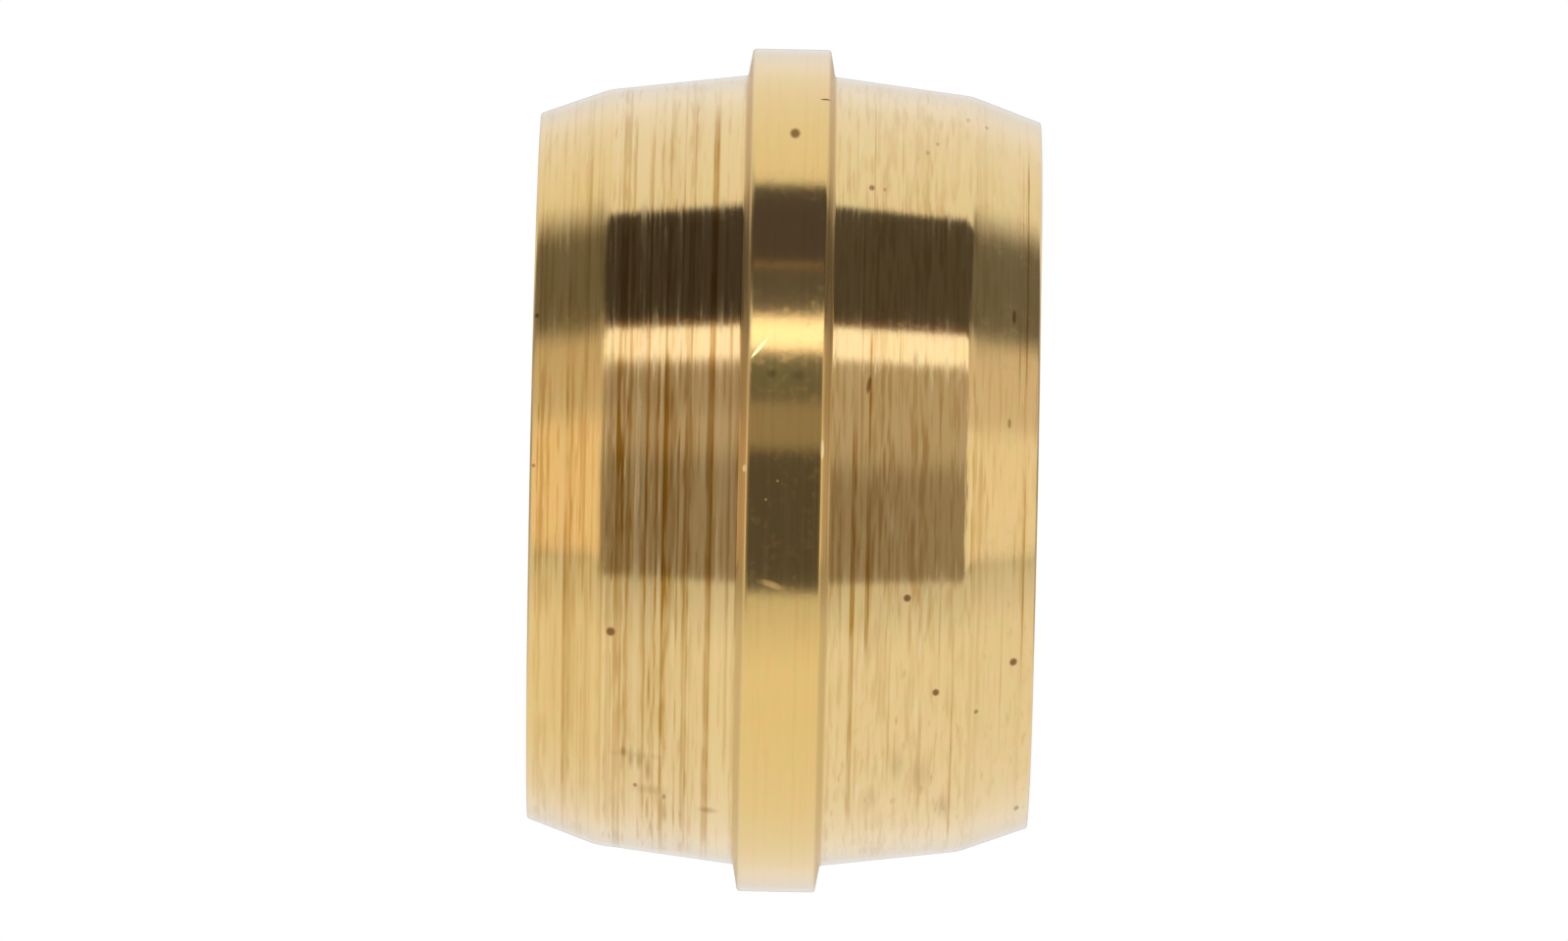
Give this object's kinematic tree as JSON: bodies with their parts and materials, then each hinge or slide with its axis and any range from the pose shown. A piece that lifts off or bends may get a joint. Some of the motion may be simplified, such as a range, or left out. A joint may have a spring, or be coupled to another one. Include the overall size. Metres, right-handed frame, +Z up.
{
  "type": "compression olive",
  "caption": "Turned brass ring with a raised middle collar, tapered flanks, steeper end cones and a plain bore. It is squeezed onto a tube to seal a compression fitting.",
  "frame": {"origin": "middle of the lower end face, on the bore's axis, where the olive stands on its end", "axes": "+Z up along the bore's axis; the olive is round about Z and the same both ways up, so X and Y are any two directions across it"},
  "size_m": [0.0136, 0.0134, 0.008],
  "materials": {
    "turned_brass": "bright turned, with fine tool marks round it"
  },
  "bodies": {
    "root": {"olive": "turned_brass"}
  },
  "joints": []
}
